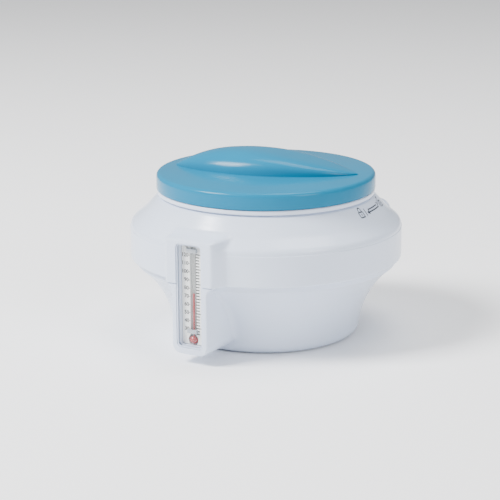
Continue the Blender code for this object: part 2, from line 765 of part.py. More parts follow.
def make_dial():
    inner_r = DIAL_R - DIAL_WALL
    profile = [
        (DIAL_R, DIAL_TOP_Z),
        (DIAL_R, 1.2 * MM),
        (DIAL_R - 1.2 * MM, 0.0),
        (0.0, 0.0),
    ]
    profile += [(0.0, 8.0 * MM), (PIVOT_R, 8.0 * MM), (PIVOT_R, DIAL_FLOOR)]
    profile += [(inner_r, DIAL_FLOOR), (inner_r, DIAL_TOP_Z)]
    # the loop touches the axis from the sole to the top of the pivot stub
    loop = profile[4:] + profile[:4]
    dial = turned("flow_dial", loop, "blue_plastic", closed=False)
    boolean(dial, slot_cutter("dial_slots", 50 * MM, 57 * MM))
    boolean(dial, floor_hole_cutter("dial_floor_holes", (0.0, DIAL_FLOOR)))
    flutes = []
    for i in range(SLOTS):
        angle = math.tau * i / SLOTS
        place = (63.0 * MM * math.cos(angle), 63.0 * MM * math.sin(angle), 2.0 * MM)
        flutes.append(rod(f"flute_{i}", 9.8 * MM, 12.0 * MM, place, (0, 0, 1), None, 20))
    boolean(dial, joined("grip_flutes", flutes))
    return dial


def make_dial_retainer():
    low = BASKET_FLOOR_Z[1] + GAP
    high = low + 1.4 * MM
    inner_r = PIVOT_R + GAP
    profile = [(9.0 * MM, high), (9.0 * MM, low), (inner_r, low), (inner_r, high)]
    return turned("dial_retainer", profile, "white_plastic", segments=24)


def build():
    upper = make_upper_shell()
    lower = make_lower_shell()
    cut_pocket([upper, lower])
    make_shell_gasket()
    make_well_tube()
    make_thermometer()
    make_lid()
    make_lid_seal()
    make_scoop()
    make_scoop_screws()
    make_basket()
    make_basket_floor()
    make_dial()
    make_dial_retainer()


build()
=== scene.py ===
# %% [markdown]
# # A floating chlorine dispenser
# The object is a sealed white float with a cyan lid on its neck, a thermometer let into its front and
# a blue tablet basket that slides out of its underside. This lesson starts from the engineering
# frame, which says where every body is and how it moves, and builds the visible surfaces round it.

# %% Load the frame
import math

import bmesh
import bpy
from mathutils import Matrix, Vector


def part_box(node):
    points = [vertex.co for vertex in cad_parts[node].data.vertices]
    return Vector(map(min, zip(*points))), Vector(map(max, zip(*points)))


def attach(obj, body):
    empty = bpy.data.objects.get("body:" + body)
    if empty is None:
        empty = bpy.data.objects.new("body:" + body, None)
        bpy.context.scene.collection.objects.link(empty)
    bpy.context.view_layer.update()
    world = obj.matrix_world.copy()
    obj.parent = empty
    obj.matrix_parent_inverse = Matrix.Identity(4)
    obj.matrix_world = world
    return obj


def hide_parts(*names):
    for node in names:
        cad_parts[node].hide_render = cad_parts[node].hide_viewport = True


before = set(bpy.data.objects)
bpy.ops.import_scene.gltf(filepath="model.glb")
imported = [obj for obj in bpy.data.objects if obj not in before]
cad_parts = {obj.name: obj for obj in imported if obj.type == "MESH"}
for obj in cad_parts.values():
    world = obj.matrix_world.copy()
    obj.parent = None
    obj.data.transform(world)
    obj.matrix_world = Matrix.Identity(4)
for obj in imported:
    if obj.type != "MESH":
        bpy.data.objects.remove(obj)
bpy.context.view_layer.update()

MM = 0.001
Z_AXIS = (0, 0, 1)

# %% [markdown]
# ## The camera first
# A product shot is taken from some way off with a long lens, so upright edges stay nearly parallel.
# The camera stands in front and to the right, a little above the lid, and is set before anything
# else, so that each new piece can be judged from the angle that matters most.

# %% Camera
CAMERA_PLACE = Vector((0.6096, -1.0256, 0.3658))
CAMERA_AIM = Vector((-0.502, 0.827, -0.252))
CAMERA_ROLL = math.radians(-0.3)
camera_data = bpy.data.cameras.new("camera")
camera_data.lens = 129.3
camera_data.sensor_width = 36.0
camera = bpy.data.objects.new("camera", camera_data)
bpy.context.scene.collection.objects.link(camera)
camera.location = CAMERA_PLACE
camera.rotation_euler = (
    CAMERA_AIM.to_track_quat("-Z", "Y").to_matrix() @ Matrix.Rotation(CAMERA_ROLL, 3, "Z")
).to_euler()
bpy.context.scene.camera = camera
print("camera stands", round(CAMERA_PLACE.length, 3), "m from the float")

# %% [markdown]
# ## Studio
# Glossy plastic shows the lamps more than it shows its own colour. One broad soft box high on the
# left gives the long highlights on the shoulder and the lid, a second on the right opens the shadow
# side, a third hangs overhead, and a pale room fills the rest. The floor is plain and pale.

# %% Floor, room and soft boxes
LAMP_AIM = (0, 0, 0.06)          # about half the object's height
FLOOR_R = 6.0
FLOOR_DROP = 0.4 * MM            # keeps the floor clear of the dial's flat underside


def colour(hex_text):
    """sRGB hex text as the linear RGBA that Blender's sockets take."""
    channels = [int(hex_text[i : i + 2], 16) / 255 for i in (1, 3, 5)]
    linear = [c / 12.92 if c <= 0.04045 else ((c + 0.055) / 1.055) ** 2.4 for c in channels]
    return (*linear, 1.0)


def node(tree, kind, settings=None, **inputs):
    """Adds a shader node; an input given a socket is linked, any other value is set on it."""
    made = tree.nodes.new(kind)
    for name, value in (settings or {}).items():
        setattr(made, name, value)
    for name, value in inputs.items():
        socket = made.inputs[int(name[1:])] if name[0] == "_" else made.inputs[name.replace("_", " ")]
        if isinstance(value, bpy.types.NodeSocket):
            tree.links.new(value, socket)
        else:
            socket.default_value = value
    return made


def soft_box(name, place, size, watts):
    """A white rectangular lamp that faces the object."""
    lamp = bpy.data.lights.new(name, "AREA")
    lamp.shape = "RECTANGLE"
    lamp.size, lamp.size_y = size
    lamp.energy = watts
    made = bpy.data.objects.new(name, lamp)
    made.location = place
    made.rotation_euler = (Vector(LAMP_AIM) - Vector(place)).to_track_quat("-Z", "Y").to_euler()
    bpy.context.scene.collection.objects.link(made)


soft_box("key_box", (-0.9, -1.1, 1.5), (0.7, 0.7), 92)
soft_box("right_box", (1.7, -0.5, 0.9), (0.7, 1.1), 16)
soft_box("top_box", (0.1, 0.35, 1.7), (1.2, 0.8), 22)
room = bpy.data.worlds.new("studio")
room.use_nodes = True
room.node_tree.nodes["Background"].inputs["Color"].default_value = colour("#F4F6F9")
room.node_tree.nodes["Background"].inputs["Strength"].default_value = 0.5
bpy.context.scene.world = room

floor_shape = bmesh.new()
bmesh.ops.create_circle(floor_shape, cap_ends=True, segments=64, radius=FLOOR_R)
floor_mesh = bpy.data.meshes.new("floor")
floor_shape.to_mesh(floor_mesh)
floor_shape.free()
floor = bpy.data.objects.new("floor", floor_mesh)
floor.location.z = -FLOOR_DROP
bpy.context.scene.collection.objects.link(floor)
paper = bpy.data.materials.new("studio_paper")
paper.use_nodes = True
paper.node_tree.nodes["Principled BSDF"].inputs["Base Color"].default_value = colour("#FCFCFD")
paper.node_tree.nodes["Principled BSDF"].inputs["Roughness"].default_value = 0.9
floor_mesh.materials.append(paper)
print("lamps:", len(bpy.data.lights))

# %% [markdown]
# ## Materials
# Nearly everything here is injection-moulded plastic. A moulded skin is glossy but never a perfect
# mirror: the resin shrinks as it cools, which leaves a very shallow ripple a few millimetres long,
# and handling leaves hair-fine scuffs that only show where a lamp is mirrored. One function builds
# that skin for every plastic, with its own colour and gloss.

# %% Moulded plastic
def new_material(name):
    """A material with its node tree and its main shader."""
    made = bpy.data.materials.new(name)
    made.use_nodes = True
    return made, made.node_tree, made.node_tree.nodes["Principled BSDF"]


def moulded_plastic(name, base, shade, rough, ripple=0.06, shine=0.5, glow=0.0):
    """base and shade are the resin's own colour and the slightly denser one where it has pooled."""
    made, tree, shader = new_material(name)
    place = node(tree, "ShaderNodeTexCoord").outputs["Object"]
    # resin density drifts over about 40 mm; it is barely visible, and keeps wide faces alive
    drift = node(tree, "ShaderNodeTexNoise", Vector=place, Scale=25.0, Detail=2.0)
    tone = node(tree, "ShaderNodeMix", {"data_type": "RGBA"}, _0=drift.outputs["Fac"])
    tone.inputs[6].default_value = colour(base)
    tone.inputs[7].default_value = colour(shade)
    tree.links.new(tone.outputs[2], shader.inputs["Base Color"])
    # hair-fine scuffs: a stretched noise, 12 mm long and under 1 mm wide
    stretch = node(tree, "ShaderNodeMapping", Vector=place)
    stretch.inputs["Scale"].default_value = (80, 1300, 900)
    stretch.inputs["Rotation"].default_value = (0.3, 0.5, 0.9)
    scuff = node(tree, "ShaderNodeTexNoise", Vector=stretch.outputs["Vector"], Scale=1.0, Detail=3.0)
    gloss = node(
        tree, "ShaderNodeMapRange", Value=scuff.outputs["Fac"], From_Min=0.35, From_Max=0.75,
        To_Min=rough - 0.03, To_Max=rough + 0.07,
    )
    tree.links.new(gloss.outputs["Result"], shader.inputs["Roughness"])
    # shrinkage ripple about 6 mm long, and the mould's spark texture at 0.5 mm
    wave = node(tree, "ShaderNodeTexNoise", Vector=place, Scale=160.0, Detail=1.0)
    grain = node(tree, "ShaderNodeTexNoise", Vector=place, Scale=1900.0, Detail=2.0)
    bump = node(
        tree, "ShaderNodeBump", Height=wave.outputs["Fac"], Strength=ripple, Distance=0.0006
    )
    fine = node(
        tree, "ShaderNodeBump", Height=grain.outputs["Fac"], Normal=bump.outputs["Normal"],
        Strength=0.05, Distance=0.00005,
    )
    tree.links.new(fine.outputs["Normal"], shader.inputs["Normal"])
    shader.inputs["IOR"].default_value = 1.49
    shader.inputs["Specular IOR Level"].default_value = shine
    if glow:
        shader.inputs["Subsurface Weight"].default_value = glow
        shader.inputs["Subsurface Scale"].default_value = 0.004
        shader.inputs["Subsurface Radius"].default_value = (1.0, 1.0, 1.0)
    return made


WHITE_PP = moulded_plastic("moulded_white_polypropylene", "#D9E3F4", "#D0DBEF", 0.20, glow=0.08)
TUBE_PP = moulded_plastic("moulded_white_inner_tube", "#DCE2EA", "#CFD6E0", 0.36)
CYAN_ABS = moulded_plastic("moulded_cyan_abs", "#00769A", "#006C90", 0.20, 0.04, shine=0.16)
BLUE_PP = moulded_plastic("moulded_blue_polypropylene", "#0553A0", "#044B94", 0.28, shine=0.35)
CLIP_PC = moulded_plastic("moulded_grey_clip", "#A9AFB5", "#9DA3AA", 0.30)
print("plastics made")

# %% [markdown]
# ## Rubber, card, ink, spirit and steel
# The seals are nitrile rubber, dark and satin with a dusty bloom. The scale is printed on a matte
# white plastic card. The inks are flat, one nearly black and one slate. The spirit in the
# thermometer is dyed red, and the glass in front of it makes it look wet. The screws are turned
# stainless steel.

# %% The small materials
def grained(name, base, shade, rough, size_mm, depth, metallic=0.0):
    """A plain material whose colour and relief vary at one real grain size."""
    made, tree, shader = new_material(name)
    place = node(tree, "ShaderNodeTexCoord").outputs["Object"]
    grain = node(tree, "ShaderNodeTexNoise", Vector=place, Scale=1000.0 / size_mm, Detail=3.0)
    tone = node(tree, "ShaderNodeMix", {"data_type": "RGBA"}, _0=grain.outputs["Fac"])
    tone.inputs[6].default_value = colour(base)
    tone.inputs[7].default_value = colour(shade)
    tree.links.new(tone.outputs[2], shader.inputs["Base Color"])
    gloss = node(
        tree, "ShaderNodeMapRange", Value=grain.outputs["Fac"], To_Min=rough - 0.05,
        To_Max=rough + 0.05,
    )
    tree.links.new(gloss.outputs["Result"], shader.inputs["Roughness"])
    bump = node(
        tree, "ShaderNodeBump", Height=grain.outputs["Fac"], Strength=depth, Distance=0.0001
    )
    tree.links.new(bump.outputs["Normal"], shader.inputs["Normal"])
    shader.inputs["Metallic"].default_value = metallic
    return made


RUBBER = grained("nitrile_rubber", "#2C2F33", "#3A3D41", 0.62, 0.8, 0.25)
CARD = grained("matte_scale_card", "#F4F4F1", "#ECECE8", 0.55, 0.5, 0.08)
BLACK_INK = grained("screen_printed_black_ink", "#060607", "#0C0C0E", 0.45, 0.3, 0.10)
SLATE_INK = grained("pad_printed_slate_ink", "#101827", "#172033", 0.42, 0.3, 0.10)
SPIRIT = grained("red_dyed_spirit", "#B4000C", "#A00009", 0.12, 1.5, 0.02)
STEEL = grained("turned_stainless_steel", "#B9BCC0", "#A4A8AD", 0.30, 0.4, 0.15, metallic=1.0)


def clear(name, tint, opacity, rough):
    """Glass or clear plastic: mostly see-through, with a full surface shine."""
    made, tree, shader = new_material(name)
    place = node(tree, "ShaderNodeTexCoord").outputs["Object"]
    draw = node(tree, "ShaderNodeTexNoise", Vector=place, Scale=140.0, Detail=1.0)
    haze = node(
        tree, "ShaderNodeMapRange", Value=draw.outputs["Fac"], To_Min=rough, To_Max=rough + 0.04
    )
    tree.links.new(haze.outputs["Result"], shader.inputs["Roughness"])
    bump = node(tree, "ShaderNodeBump", Height=draw.outputs["Fac"], Strength=0.03, Distance=0.0003)
    tree.links.new(bump.outputs["Normal"], shader.inputs["Normal"])
    shader.inputs["Base Color"].default_value = colour(tint)
    shader.inputs["Alpha"].default_value = opacity
    shader.inputs["IOR"].default_value = 1.52
    return made


LENS = clear("clear_polycarbonate_window", "#E9F0F4", 0.02, 0.03)
GLASS = clear("drawn_thermometer_glass", "#C8D2D4", 0.10, 0.02)
print("materials:", len(bpy.data.materials))

# %% [markdown]
# ## How a round piece is made
# A lathe needs only half an outline. Each corner of the outline is given as radius, height and the
# size of its rounding, the roundings are worked out once, and the outline is spun about the float's
# axis. Real moulded edges are never sharp, and a rounding of even half a millimetre catches light.

# %% Outline and spin
def rounded(corners, steps=5, step_length=None):
    """A closed outline from (x, y, rounding) corners, with long sides cut into shorter lengths."""
    points = []
    count = len(corners)
    for i, (x, y, size) in enumerate(corners):
        here = Vector((x, y))
        back = (Vector(corners[i - 1][:2]) - here).normalized()
        ahead = (Vector(corners[(i + 1) % count][:2]) - here).normalized()
        angle = back.angle(ahead, math.pi)
        if size <= 0 or angle > math.radians(179):
            points.append(here)
            continue
        tangent = size / math.tan(angle / 2)
        centre = here + (back + ahead).normalized() * (size / math.sin(angle / 2))
        start = here + back * tangent - centre
        end = here + ahead * tangent - centre
        turn = start.angle_signed(end)
        for k in range(steps + 1):
            points.append(centre + Matrix.Rotation(-turn * k / steps, 2) @ start)
    if not step_length:
        return points
    finer = []
    for a, b in zip(points, points[1:] + points[:1]):
        pieces = max(1, round((b - a).length / step_length))
        finer += [a.lerp(b, k / pieces) for k in range(pieces)]
    return finer


def spun(outline, segments=192, closed=True):
    """A bmesh: the outline of (radius, height) points turned once round Z."""
    shape = bmesh.new()
    dots = [shape.verts.new((p[0], 0.0, p[1])) for p in outline]
    for a, b in zip(dots, dots[1:]):
        shape.edges.new((a, b))
    if closed:
        shape.edges.new((dots[-1], dots[0]))
    bmesh.ops.spin(
        shape, geom=shape.verts[:] + shape.edges[:], cent=(0, 0, 0), axis=Z_AXIS, dvec=(0, 0, 0),
        angle=math.tau, steps=segments, space=Matrix.Identity(4), use_merge=True,
    )
    bmesh.ops.remove_doubles(shape, verts=shape.verts, dist=0.000004)
    bmesh.ops.recalc_face_normals(shape, faces=shape.faces)
    return shape


def prism(outline, low, high, soften=0.0, steps=3):
    """A bmesh: a flat outline of (x, y) points pulled up from low to high, its rims softened."""
    shape = bmesh.new()
    dots = [shape.verts.new((p[0], p[1], low)) for p in outline]
    base = shape.faces.new(dots)
    pulled = bmesh.ops.extrude_face_region(shape, geom=[base])
    rim = [g for g in pulled["geom"] if isinstance(g, bmesh.types.BMVert)]
    bmesh.ops.translate(shape, vec=(0, 0, high - low), verts=rim)
    bmesh.ops.recalc_face_normals(shape, faces=shape.faces)
    if soften:
        rims = [e for e in shape.edges if abs(e.verts[0].co.z - e.verts[1].co.z) < 1e-7]
        bmesh.ops.bevel(
            shape, geom=rims, offset=soften, offset_type="OFFSET", segments=steps, profile=0.5,
            affect="EDGES", material=-1, clamp_overlap=True,
        )
    return shape


def box_outline(half_width, low, high, corner, steps=6):
    """A rectangle with round corners, in (x, y)."""
    corners = [(half_width, low), (half_width, high), (-half_width, high), (-half_width, low)]
    return rounded([(x, y, corner) for x, y in corners], steps)


def brick(low, high, soften=0.0, turn=0.0):
    """A bmesh box between two corners, softened, then turned about Z."""
    shape = bmesh.new()
    bmesh.ops.create_cube(shape, size=1.0)
    size = [b - a for a, b in zip(low, high)]
    bmesh.ops.scale(shape, vec=size, verts=shape.verts)
    bmesh.ops.translate(shape, vec=[(a + b) / 2 for a, b in zip(low, high)], verts=shape.verts)
    if soften:
        bmesh.ops.bevel(
            shape, geom=shape.edges[:], offset=soften, offset_type="OFFSET", segments=3,
            profile=0.5, affect="EDGES", material=-1, clamp_overlap=True,
        )
    bmesh.ops.rotate(shape, cent=(0, 0, 0), matrix=Matrix.Rotation(turn, 3, "Z"), verts=shape.verts)
    return shape


def bar(radius, length, centre, direction, segments=48, soften=0.0):
    """A bmesh rod about centre, along direction."""
    shape = bmesh.new()
    bmesh.ops.create_cone(
        shape, cap_ends=True, segments=segments, radius1=radius, radius2=radius, depth=length
    )
    if soften:
        rims = [e for e in shape.edges if abs(e.verts[0].co.z - e.verts[1].co.z) < 1e-7]
        bmesh.ops.bevel(
            shape, geom=rims, offset=soften, offset_type="OFFSET", segments=3, profile=0.5,
            affect="EDGES", material=-1, clamp_overlap=True,
        )
    lean = Vector(Z_AXIS).rotation_difference(Vector(direction)).to_matrix()
    bmesh.ops.rotate(shape, cent=(0, 0, 0), matrix=lean, verts=shape.verts)
    bmesh.ops.translate(shape, vec=centre, verts=shape.verts)
    return shape


def trimmed(shape, point, beyond):
    """Cuts away what lies beyond a plane and closes the cut."""
    bmesh.ops.bisect_plane(
        shape, geom=shape.verts[:] + shape.edges[:] + shape.faces[:], plane_co=point,
        plane_no=beyond, clear_outer=True,
    )
    bmesh.ops.holes_fill(shape, edges=[e for e in shape.edges if e.is_boundary], sides=0)
    bmesh.ops.recalc_face_normals(shape, faces=shape.faces)
    return shape


def stand_up(shape, middle_y):
    """Turns a shape drawn flat in (x, y) to face the front: its y becomes height."""
    bmesh.ops.rotate(
        shape, cent=(0, 0, 0), matrix=Matrix.Rotation(math.pi / 2, 3, "X"), verts=shape.verts
    )
    bmesh.ops.translate(shape, vec=(0, middle_y, 0), verts=shape.verts)
    return shape


TEST_RING = [(2, 0, 0.2), (2, 1, 0.2), (1, 1, 0.2), (1, 0, 0.2)]
print("a test ring has", len(spun(rounded(TEST_RING)).faces), "faces")

# %% [markdown]
# ## From shape to finished piece
# A Boolean joins or cuts solids. Each cut is applied at once, so no hidden cutter is left in the
# scene. The last step names the piece, gives it its material, and lets it ride on a body of the
# frame, so it moves with the joint that carries that body.

# %% Solids, cuts and finished pieces
def solid(shape, name="blank"):
    """A bmesh as an object in the scene."""
    mesh = bpy.data.meshes.new(name)
    shape.to_mesh(mesh)
    shape.free()
    made = bpy.data.objects.new(name, mesh)
    bpy.context.scene.collection.objects.link(made)
    return made


def gathered(shapes):
    """Several separate shapes as one."""
    whole = bmesh.new()
    for shape in shapes:
        loose = bpy.data.meshes.new("loose")
        shape.to_mesh(loose)
        shape.free()
        whole.from_mesh(loose)
        bpy.data.meshes.remove(loose)
    return whole


def carve(base, shape, operation="DIFFERENCE"):
    """Cuts a shape from base, or joins it on, and throws the tool away."""
    tool = solid(shape, "tool")
    step = base.modifiers.new("carve", "BOOLEAN")
    step.operation = operation
    step.object = tool
    step.solver = "MANIFOLD"
    bpy.context.view_layer.update()
    seen = base.evaluated_get(bpy.context.evaluated_depsgraph_get())
    result = bpy.data.meshes.new_from_object(seen)
    base.modifiers.clear()
    base.data = result
    bpy.data.objects.remove(tool, do_unlink=True)
    return base


def finish(base, name, material, body, stands_for=(), crease=32):
    """Names a solid, smooths it up to its creases, paints it and lets it ride on its body."""
    base.name = name
    base.data.name = name
    base.data.materials.clear()
    base.data.materials.append(material)
    base.data.polygons.foreach_set("material_index", [0] * len(base.data.polygons))
    base.data.shade_smooth()
    base.data.set_sharp_from_angle(angle=math.radians(crease))
    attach(base, body)
    if stands_for:
        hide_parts(*stands_for)
    tested = bmesh.new()
    tested.from_mesh(base.data)
    open_edges = sum(not edge.is_manifold for edge in tested.edges)
    print(f"{name}: {len(tested.faces)} faces, {open_edges} open edges, "
          f"{tested.calc_volume() * 1e6:.2f} cubic cm")
    tested.free()


# %% [markdown]
# ## The float's upper shell
# This is the piece the eye lands on: a ledge under the neck, a slightly hollow shoulder at about 45
# degrees, and an upright collar with a crisp line above it and a lip below. It is one closed wall. The
# flat boss for the thermometer grows out of the collar with soft flanks, so it isn't a block that
# is stuck on: the wall's own points are drawn forward by a smooth weight. To give those points
# enough company, the spin's spokes are first crowded towards the front.

# %% Upper shell
LIP_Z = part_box("upper_shell")[0][2]
SHOULDER = 169.2 * MM            # radius plus height at the top of the hollow shoulder
HOLLOW = 1.7 * MM                # that sum is nowhere on the shoulder less by more than this
OUTER_SKIN_R = 91.4 * MM         # beyond this radius the wall's points belong to its outer face
FACE_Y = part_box("upper_shell")[0][1] + 0.25 * MM
BOSS_HALF = 17.0 * MM
BOSS_TOP_Z = 82.6 * MM
BOSS_FLANK = 6.5 * MM            # width of the soft flank at each side of the boss
BOSS_BROW = 3.6 * MM             # height of the soft edge above it
WALL = 2.0 * MM
NECK_R = 69.0 * MM


def mm(*corners):
    """Corners given in millimetres, as metres."""
    return [(x * MM, y * MM, size * MM) for x, y, size in corners]


def soft_step(value, start, end):
    """Goes from 0 at start to 1 at end, flat at both."""
    t = min(1.0, max(0.0, (value - start) / (end - start)))
    return t * t * (3 - 2 * t)


def crowd_front(shape, pull=0.5):
    """Slides the spokes of a spun shape round its axis, towards the front."""
    for vertex in shape.verts:
        radius = math.hypot(vertex.co.x, vertex.co.y)
        angle = math.atan2(vertex.co.x, -vertex.co.y)
        angle -= pull * math.sin(angle)
        vertex.co.x = radius * math.sin(angle)
        vertex.co.y = -radius * math.cos(angle)


upper_outline = rounded(
    mm(
        (69.0, 107.0, 0.6), (69.0, 99.8, 0.8), (74.0, 99.8, 0.9), (74.0, 96.9, 0.5),
        (71.3, 96.9, 0.3), (71.3, 95.8, 0.3), (73.4, 95.8, 3.0), (83.4, 84.4, 25), (92.15, 77.2, 5.0),
        (92.15, 74.35, 0.12), (92.5, 74.15, 0.15), (92.5, 53.4, 1.1), (89.0, 53.4, 0.4),
        (89.0, 55.4, 0.3), (90.5, 55.4, 0.5), (90.5, 75.9, 3.0), (72.6, 93.8, 2.0),
        (69.3, 93.8, 0.3), (69.3, 97.8, 0.3), (58.35, 97.8, 0.3), (58.35, 99.8, 0.4),
        (67.0, 99.8, 0.4), (67.0, 107.0, 0.5),
    ),
    step_length=0.75 * MM,
)
upper = spun(upper_outline, 384)
crowd_front(upper)


def draw_boss(shape):
    """Draws the front of the collar and shoulder forward to the flat thermometer face."""
    for vertex in shape.verts:
        x, y, z = vertex.co
        radius = math.hypot(x, y)
        outside = radius > OUTER_SKIN_R or radius + z > SHOULDER - HOLLOW
        if y > -0.05 or not outside or z > 94 * MM or radius < 74.5 * MM:
            continue
        sideways = 1 - soft_step(abs(x), BOSS_HALF - 0.8 * MM, BOSS_HALF + BOSS_FLANK)
        upward = 1 - soft_step(z, BOSS_TOP_Z - 0.6 * MM, BOSS_TOP_Z + BOSS_BROW)
        weight = sideways * upward
        vertex.co.y = y + (FACE_Y - y) * weight


draw_boss(upper)
upper_shell = solid(upper)

# %% [markdown]
# The window is one pocket cut through both shells. The neck gets three bayonet lugs, and the
# half-round eye for a tether line stands out of the collar's upper edge at the back right.

# %% Window, lugs and tether eye
WINDOW_HALF = 10.0 * MM
WINDOW_LOW, WINDOW_HIGH = 10.8 * MM, 80.4 * MM
WINDOW_CORNER = 3.2 * MM
POCKET_BACK_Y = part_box("thermometer_tray")[1][1] + 0.35 * MM
EYE_TURN = math.radians(62)
EYE_CENTRE = Vector((91.0, 0, 68.0)) * MM
EYE_R = 12.8 * MM
EYE_THICKNESS = 3.2 * MM
EYE_HOLE = Vector((97.4, 0, 69.5)) * MM
EYE_HOLE_R = 4.2 * MM
LUG_HALF = 9 * MM                # half the length of each bayonet lug, on the neck and in the lid
INSIDE_WALL = [(0, 30), (91.5, 30), (91.5, 75.9), (60, 107.4), (0, 107.4)]   # radius, height in mm


def pocket():
    """The cutter for the window, from in front of the float back to the case's place."""
    outline = box_outline(WINDOW_HALF, WINDOW_LOW, WINDOW_HIGH, WINDOW_CORNER)
    depth = POCKET_BACK_Y + 104 * MM
    return stand_up(prism(outline, -depth / 2, depth / 2), POCKET_BACK_Y - depth / 2)


def turned_to(shape, angle):
    """Turns a shape about the float's axis."""
    bmesh.ops.rotate(shape, cent=(0, 0, 0), matrix=Matrix.Rotation(angle, 3, "Z"), verts=shape.verts)
    return shape


eye = solid(bar(EYE_R, EYE_THICKNESS, EYE_CENTRE, (0, 1, 0), 72, 0.9 * MM))
carve(eye, stand_up(prism([(x * MM, z * MM) for x, z in INSIDE_WALL], -10 * MM, 10 * MM), 0))
eye_shape = bmesh.new()
eye_shape.from_mesh(eye.data)
bpy.data.objects.remove(eye)
carve(upper_shell, turned_to(eye_shape, EYE_TURN), "UNION")
lugs = [
    brick((NECK_R - 0.8 * MM, -LUG_HALF, 103.8 * MM), (NECK_R + 2 * MM, LUG_HALF, 106.3 * MM),
          0.5 * MM, math.radians(60 + 120 * i))
    for i in range(3)
]
carve(upper_shell, gathered(lugs), "UNION")
eye_hole = turned_to(bar(EYE_HOLE_R, 8 * MM, EYE_HOLE, (0, 1, 0)), EYE_TURN)
carve(upper_shell, gathered([pocket(), eye_hole]))
finish(upper_shell, "float_upper_shell", WHITE_PP, "float", ["upper_shell"])

# %% [markdown]
# ## The float's lower shell
# Below the collar the float narrows in a hollow curve to a round foot. The thermometer column
# stands out of that curve. Where the column meets the hollow side there is a fillet, made by
# lifting the side's own points next to the column, so light runs round the corner.

# %% Lower shell
FUNNEL_CENTRE = (128.5, -2.0)    # mm; the hollow side is an arc about this radius and height
FUNNEL_R = 65.0                  # mm; the outer face's arc, and the inner face's is 2 mm wider
FUNNEL_FOOT = 6.5                # mm; the arc ends here and the foot's rounding begins
COLUMN_HALF = 13.2 * MM
COLUMN_REACH = 18 * MM           # half the depth of the block that the column is cut from
COLUMN_BACK_Y = -62.9 * MM
NOTCH_HALF = 22.9 * MM           # the column's head is cut back to this under the boss
FILLET = 5.0 * MM
COLUMN_FACE_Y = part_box("lower_shell")[0][1]
SEAM_Z = LIP_Z - 0.35 * MM


def funnel(radius, high, low, steps):
    """Points down the hollow side of the float, as mm corners without rounding."""
    heights = [high + (low - high) * i / steps for i in range(steps + 1)]
    return [
        (FUNNEL_CENTRE[0] - math.sqrt(radius**2 - (z - FUNNEL_CENTRE[1]) ** 2), z, 0)
        for z in heights
    ]


lower_outline = rounded(
    mm(
        (89.8, 60.7, 0.4), (89.8, 57.5, 0.3), (88.6, 57.5, 0.3), *funnel(FUNNEL_R, 49.27, FUNNEL_FOOT, 40),
        (63.9, 0.0, 6.2), (55.3, 0.0, 0.4), (55.3, 2.0, 0.3), (61.6, 2.0, 4.2),
        *reversed(funnel(FUNNEL_R + 2, 50.2, FUNNEL_FOOT, 12)), (86.6, 60.7, 0.4),
    ),
    steps=8,
)
lower = spun(lower_outline, 384)
crowd_front(lower)
for vertex in lower.verts:
    x, y, z = vertex.co
    gap = abs(x) - COLUMN_HALF + 0.4 * MM
    mid_wall = FUNNEL_CENTRE[0] - math.sqrt((FUNNEL_R + 1) ** 2 - (z / MM - FUNNEL_CENTRE[1]) ** 2)
    inside = math.hypot(x, y) < mid_wall * MM
    if y > -0.03 or not 0 < gap < FILLET or not 8 * MM < z < SEAM_Z or inside:
        continue
    rise = FILLET - math.sqrt(FILLET**2 - (FILLET - gap) ** 2)
    vertex.co.y = y - rise * soft_step(z, 8 * MM, 13 * MM) * soft_step(-z, -SEAM_Z, -SEAM_Z + 3 * MM)
lower_shell = solid(lower)

column_outline = rounded(
    mm(
        (13.2, 6.6, 6.0), (13.2, 49.6, 5.0), (17.2, 53.05, 0), (-17.2, 53.05, 0),
        (-13.2, 49.6, 5.0), (-13.2, 6.6, 6.0),
    ),
    steps=8,
)
column = prism(column_outline, -COLUMN_REACH, COLUMN_REACH, 0.7 * MM)
stand_up(column, COLUMN_FACE_Y + COLUMN_REACH)
trimmed(column, (0, COLUMN_BACK_Y, 0), (0, 1, 0))
carve(lower_shell, column, "UNION")
carve(lower_shell, brick((-NOTCH_HALF, -110 * MM, SEAM_Z), (NOTCH_HALF, -79 * MM, 64 * MM)))
carve(lower_shell, pocket())
finish(lower_shell, "float_lower_shell", WHITE_PP, "float", ["lower_shell"])

# %% [markdown]
# ## Inner tube
# The tablet basket slides in a plain tube with three keyways. It shows when the lid is off.

# %% Inner tube
TUBE_R, TUBE_BORE_R = 58 * MM, 55 * MM
tube_low, tube_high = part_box("tablet_well_tube")[0][2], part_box("tablet_well_tube")[1][2]
tube = solid(spun(rounded(
    [(TUBE_R, tube_high, 0.5 * MM), (TUBE_R, tube_low, 0.4 * MM),
     (TUBE_BORE_R, tube_low, 0.4 * MM), (TUBE_BORE_R, tube_high, 0.8 * MM)]
), 144))
grooves = [
    brick((51 * MM, -4 * MM, 28.9 * MM), (56.6 * MM, 4 * MM, 102 * MM), 0.0, math.tau * i / 3)
    for i in range(3)
]
carve(tube, gathered(grooves))
finish(tube, "tablet_tube", TUBE_PP, "float", ["tablet_well_tube"])
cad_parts["shell_gasket"].material_slots[0].material = RUBBER

# %% [markdown]
# ## The lid
# The lid is one cyan moulding: a flat disc with a rolled edge, a skirt, and a long leaf-shaped grip
# that stands on it. The grip is the lid's character: seen from above it is a pointed leaf, and from
# the side a low arch, with a broad smooth back and steep flanks that meet in a tight edge. A grid
# of points is laid out along and across the leaf, and each is moved to its place on that form.

# %% Grip form
GRIP_TURN = math.radians(15)
GRIP_REACH = 63.8 * MM           # from the middle to each tip
GRIP_HALF = 24.8 * MM
GRIP_TOP_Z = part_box("lid")[1][2] - 0.05 * MM
GRIP_PEAK = -12 * MM             # the arch is highest here, left of the middle as the camera sees it
DISC_Z = 112.2 * MM


